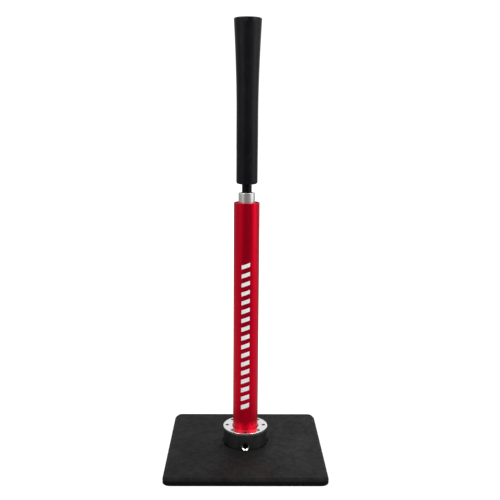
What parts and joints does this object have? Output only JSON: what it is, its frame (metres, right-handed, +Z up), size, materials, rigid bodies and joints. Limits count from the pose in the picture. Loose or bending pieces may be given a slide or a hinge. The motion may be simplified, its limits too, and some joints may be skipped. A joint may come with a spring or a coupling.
{
  "type": "batting tee",
  "caption": "Free-standing batting tee: weighted square base, clamped round post, two telescoping stages and a flared rubber cone that holds the ball.",
  "frame": {"origin": "middle of the base's underside, on the floor", "axes": "+Z up along the post, -Y towards the front, where the set screw is, +X to the right seen from the front"},
  "size_m": [0.254, 0.254, 0.6992],
  "materials": {
    "slab_rubber": "moulded matt black rubber with a fine grain",
    "sole_rubber": "black non-slip rubber sheet",
    "weight_steel": "black painted steel plate",
    "black_anodised": "black anodised aluminium, satin",
    "silver_aluminium": "turned bare aluminium",
    "red_anodised": "red anodised aluminium, satin gloss, with a plain white stripe graphic",
    "black_oxide_steel": "black oxide screw steel",
    "zinc_steel": "bright zinc plated",
    "tip_brass": "turned brass",
    "black_acetal": "black machined plastic",
    "grey_nylon": "grey moulded plastic",
    "seal_rubber": "smooth black seal rubber",
    "cone_rubber": "satin black moulded rubber"
  },
  "bodies": {
    "base": {"base_slab": "slab_rubber", "steel_plate": "weight_steel", "sole_mat": "sole_rubber", "hub": "black_anodised", "clamp_ring": "silver_aluminium", "ring_screw_1": "black_oxide_steel", "ring_screw_2": "black_oxide_steel", "ring_screw_3": "black_oxide_steel", "ring_screw_4": "black_oxide_steel", "ring_screw_5": "black_oxide_steel", "ring_screw_6": "black_oxide_steel", "ring_screw_7": "black_oxide_steel", "ring_screw_8": "black_oxide_steel", "hub_bolt_1": "black_oxide_steel", "hub_bolt_2": "black_oxide_steel", "hub_bolt_3": "black_oxide_steel", "hub_bolt_4": "black_oxide_steel", "outer_tube": "red_anodised", "foot_plug": "grey_nylon", "foot_bumper": "seal_rubber", "outer_guide_bush": "black_acetal", "outer_grip_ring": "seal_rubber", "outer_stop_tube": "grey_nylon"},
    "screw_tip": {"set_screw_tip": "tip_brass"},
    "screw": {"set_screw": "black_oxide_steel"},
    "middle_stage": {"middle_tube": "silver_aluminium", "middle_piston": "black_acetal", "middle_piston_pin": "zinc_steel", "middle_piston_ring_1": "seal_rubber", "middle_piston_ring_2": "seal_rubber", "middle_guide_bush": "black_acetal", "middle_grip_ring": "seal_rubber", "middle_stop_tube": "grey_nylon"},
    "shaft_foot": {"shaft_piston": "black_acetal", "shaft_piston_ring_1": "seal_rubber", "shaft_piston_ring_2": "seal_rubber"},
    "shaft_stage": {"inner_shaft": "black_anodised", "shaft_piston_washer": "zinc_steel", "shaft_piston_screw": "zinc_steel", "cone_adapter": "black_acetal", "adapter_washer": "zinc_steel", "adapter_screw": "zinc_steel", "ball_cone": "cone_rubber"}
  },
  "joints": [
    {"name": "middle_tube_lift", "type": "slide", "parent": "base", "child": "middle_stage", "axis": [0, 0, 1], "range_m": [0, 0.23]},
    {"name": "shaft_lift", "type": "slide", "parent": "middle_stage", "child": "shaft_foot", "axis": [0, 0, 1], "range_m": [0, 0.21]},
    {"name": "shaft_turn", "type": "hinge", "parent": "shaft_foot", "child": "shaft_stage", "pos_m": [0, 0.0092, 0.5], "axis": [0, 0, 1], "continuous": true},
    {"name": "set_screw_travel", "type": "slide", "parent": "base", "child": "screw_tip", "axis": [0, -1, 0], "range_m": [0, 0.003]},
    {"name": "set_screw_turn", "type": "hinge", "parent": "screw_tip", "child": "screw", "pos_m": [0, -0.01183, 0.0173], "axis": [0, -1, 0], "range_deg": [0, 720]}
  ],
  "couplings": [
    {"joint": "set_screw_turn", "follows": "set_screw_travel", "rad_per_m": 4188.8}
  ]
}
